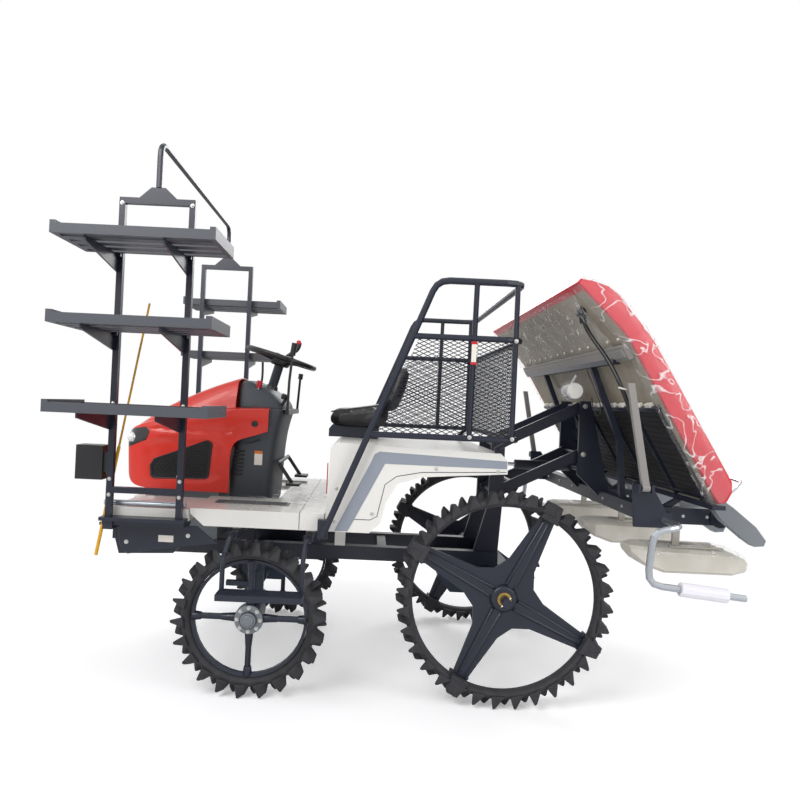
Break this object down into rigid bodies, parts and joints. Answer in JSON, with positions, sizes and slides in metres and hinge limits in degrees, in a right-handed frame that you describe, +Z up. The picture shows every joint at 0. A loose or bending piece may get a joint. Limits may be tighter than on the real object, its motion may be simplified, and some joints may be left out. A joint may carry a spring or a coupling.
{
  "type": "ride-on rice transplanter",
  "caption": "Riding rice transplanter with four-wheel chassis, seedling racks, rear basket guard and a raised planting unit with a sloping seedling tray.",
  "frame": {"origin": "on the ground under the middle of the machine's bounding box", "axes": "+Z up, -X is the machine's front, -Y is its left side"},
  "size_m": [2.7866, 2.03, 2.3115],
  "materials": {
    "axle_blue": "satin",
    "bare_pipe": "satin",
    "body_white": "gloss",
    "bonnet_red": "gloss",
    "cast_grey": "satin",
    "chrome": "polished",
    "control_black": "satin",
    "float_white": "satin",
    "foam_white": "matte",
    "frame_black": "satin",
    "pole_yellow": "satin",
    "post_grey": "satin",
    "rubber": "matte",
    "seat_black": "satin",
    "shelf_grey": "satin",
    "slate": "satin",
    "tray_red": "gloss"
  },
  "bodies": {
    "chassis": {"chassis_frame": "frame_black", "engine_block": "cast_grey", "front_axle": "axle_blue", "rear_axle_case": "axle_blue", "front_carrier": "frame_black", "front_step_panel": "body_white", "floor_deck": "body_white", "dash_cowl": "slate", "steering_column": "frame_black", "control_levers": "control_black", "pedals": "control_black", "rear_body": "body_white", "seat_base": "frame_black", "seat": "seat_black", "rack_left": "frame_black", "rack_right": "frame_black", "rack_arch": "frame_black", "shelf_left_1": "shelf_grey", "shelf_left_2": "shelf_grey", "shelf_left_3": "shelf_grey", "shelf_right_1": "shelf_grey", "shelf_right_2": "shelf_grey", "shelf_right_3": "shelf_grey", "work_lamp_box": "control_black", "sight_pole": "pole_yellow", "guard_rail": "frame_black", "basket_mesh": "frame_black", "step_left": "frame_black", "step_right": "frame_black"},
    "bonnet": {"bonnet": "bonnet_red"},
    "steering_wheel": {"steering_wheel": "control_black"},
    "knuckle_left": {"knuckle_left": "axle_blue"},
    "knuckle_right": {"knuckle_right": "axle_blue"},
    "front_wheel_left": {"front_rim_left": "cast_grey", "front_tyre_left": "rubber"},
    "front_wheel_right": {"front_rim_right": "cast_grey", "front_tyre_right": "rubber"},
    "rear_wheel_left": {"rear_wheel_plate_left": "frame_black", "rear_tyre_left": "rubber"},
    "rear_wheel_right": {"rear_wheel_plate_right": "frame_black", "rear_tyre_right": "rubber"},
    "lower_link": {"lower_link": "frame_black"},
    "upper_link": {"upper_link": "frame_black"},
    "lift_barrel": {"lift_barrel": "frame_black"},
    "lift_rod": {"lift_rod": "chrome"},
    "planting_unit": {"planting_frame": "frame_black", "float_left": "float_white", "float_centre": "float_white", "float_right": "float_white", "side_guard_left": "bare_pipe", "side_guard_right": "bare_pipe", "foam_sleeve_left": "foam_white", "foam_sleeve_right": "foam_white"},
    "seedling_tray": {"seedling_tray": "tray_red"},
    "rotor_left": {"rotor_left": "cast_grey"},
    "rotor_centre": {"rotor_centre": "cast_grey"},
    "rotor_right": {"rotor_right": "cast_grey"},
    "marker_arm_left": {"marker_arm_left": "post_grey"},
    "marker_arm_right": {"marker_arm_right": "post_grey"}
  },
  "joints": [
    {"name": "steer_left", "type": "hinge", "parent": "chassis", "child": "knuckle_left", "pos_m": [-0.6713, -0.455, 0.328], "axis": [0, 0, 1], "range_deg": [-35, 35]},
    {"name": "steer_right", "type": "hinge", "parent": "chassis", "child": "knuckle_right", "pos_m": [-0.6713, 0.455, 0.328], "axis": [0, 0, 1], "range_deg": [-35, 35]},
    {"name": "steering_wheel_turn", "type": "hinge", "parent": "chassis", "child": "steering_wheel", "pos_m": [-0.6753, 0, 1.432], "axis": [0.2631, 0, 0.9648], "range_deg": [-450, 450]},
    {"name": "front_wheel_left_spin", "type": "hinge", "parent": "knuckle_left", "child": "front_wheel_left", "pos_m": [-0.6713, -0.571, 0.328], "axis": [0, 1, 0], "continuous": true},
    {"name": "front_wheel_right_spin", "type": "hinge", "parent": "knuckle_right", "child": "front_wheel_right", "pos_m": [-0.6713, 0.571, 0.328], "axis": [0, 1, 0], "continuous": true},
    {"name": "rear_wheel_left_spin", "type": "hinge", "parent": "chassis", "child": "rear_wheel_left", "pos_m": [0.4037, -0.571, 0.459], "axis": [0, 1, 0], "continuous": true},
    {"name": "rear_wheel_right_spin", "type": "hinge", "parent": "chassis", "child": "rear_wheel_right", "pos_m": [0.4037, 0.571, 0.459], "axis": [0, 1, 0], "continuous": true},
    {"name": "bonnet_lid", "type": "hinge", "parent": "chassis", "child": "bonnet", "pos_m": [-1.3313, 0, 0.815], "axis": [0, -1, 0], "range_deg": [0, 55]},
    {"name": "lift", "type": "hinge", "parent": "chassis", "child": "lower_link", "pos_m": [0.4287, 0, 0.85], "axis": [0, 1, 0], "range_deg": [0, 54]},
    {"name": "upper_link_swing", "type": "hinge", "parent": "chassis", "child": "upper_link", "pos_m": [0.4287, 0, 1.085], "axis": [0, 1, 0], "range_deg": [0, 55]},
    {"name": "planting_level", "type": "hinge", "parent": "lower_link", "child": "planting_unit", "pos_m": [0.8487, 0, 1.06], "axis": [0, 1, 0], "range_deg": [-55, 1]},
    {"name": "lift_barrel_swing", "type": "hinge", "parent": "planting_unit", "child": "lift_barrel", "pos_m": [0.8437, 0, 0.985], "axis": [0, 1, 0], "range_deg": [-1, 50]},
    {"name": "lift_rod_slide", "type": "slide", "parent": "lift_barrel", "child": "lift_rod", "axis": [-1, 0, 0], "range_m": [0, 0.19]},
    {"name": "tray_shift", "type": "slide", "parent": "planting_unit", "child": "seedling_tray", "axis": [0, 1, 0], "range_m": [-0.135, 0.135]},
    {"name": "rotor_left_spin", "type": "hinge", "parent": "planting_unit", "child": "rotor_left", "pos_m": [1.2837, -0.6, 0.85], "axis": [0, 1, 0], "continuous": true},
    {"name": "rotor_centre_spin", "type": "hinge", "parent": "planting_unit", "child": "rotor_centre", "pos_m": [1.2837, 0, 0.85], "axis": [0, 1, 0], "continuous": true},
    {"name": "rotor_right_spin", "type": "hinge", "parent": "planting_unit", "child": "rotor_right", "pos_m": [1.2837, 0.6, 0.85], "axis": [0, 1, 0], "continuous": true},
    {"name": "marker_left_fold", "type": "hinge", "parent": "planting_unit", "child": "marker_arm_left", "pos_m": [0.8687, -0.862, 0.985], "axis": [1, 0, 0], "range_deg": [0, 95]},
    {"name": "marker_right_fold", "type": "hinge", "parent": "planting_unit", "child": "marker_arm_right", "pos_m": [0.8687, 0.862, 0.985], "axis": [-1, 0, 0], "range_deg": [0, 95]}
  ],
  "couplings": [
    {"joint": "steer_right", "follows": "steer_left", "ratio": 1},
    {"joint": "steering_wheel_turn", "follows": "steer_left", "ratio": 12.8},
    {"joint": "upper_link_swing", "follows": "lift", "ratio": 1},
    {"joint": "planting_level", "follows": "lift", "ratio": -1},
    {"joint": "lift_barrel_swing", "follows": "lift", "ratio": 0.9},
    {"joint": "lift_rod_slide", "follows": "lift", "m_per_rad": 0.1968},
    {"joint": "rotor_centre_spin", "follows": "rotor_left_spin", "ratio": 1},
    {"joint": "rotor_right_spin", "follows": "rotor_left_spin", "ratio": 1}
  ]
}
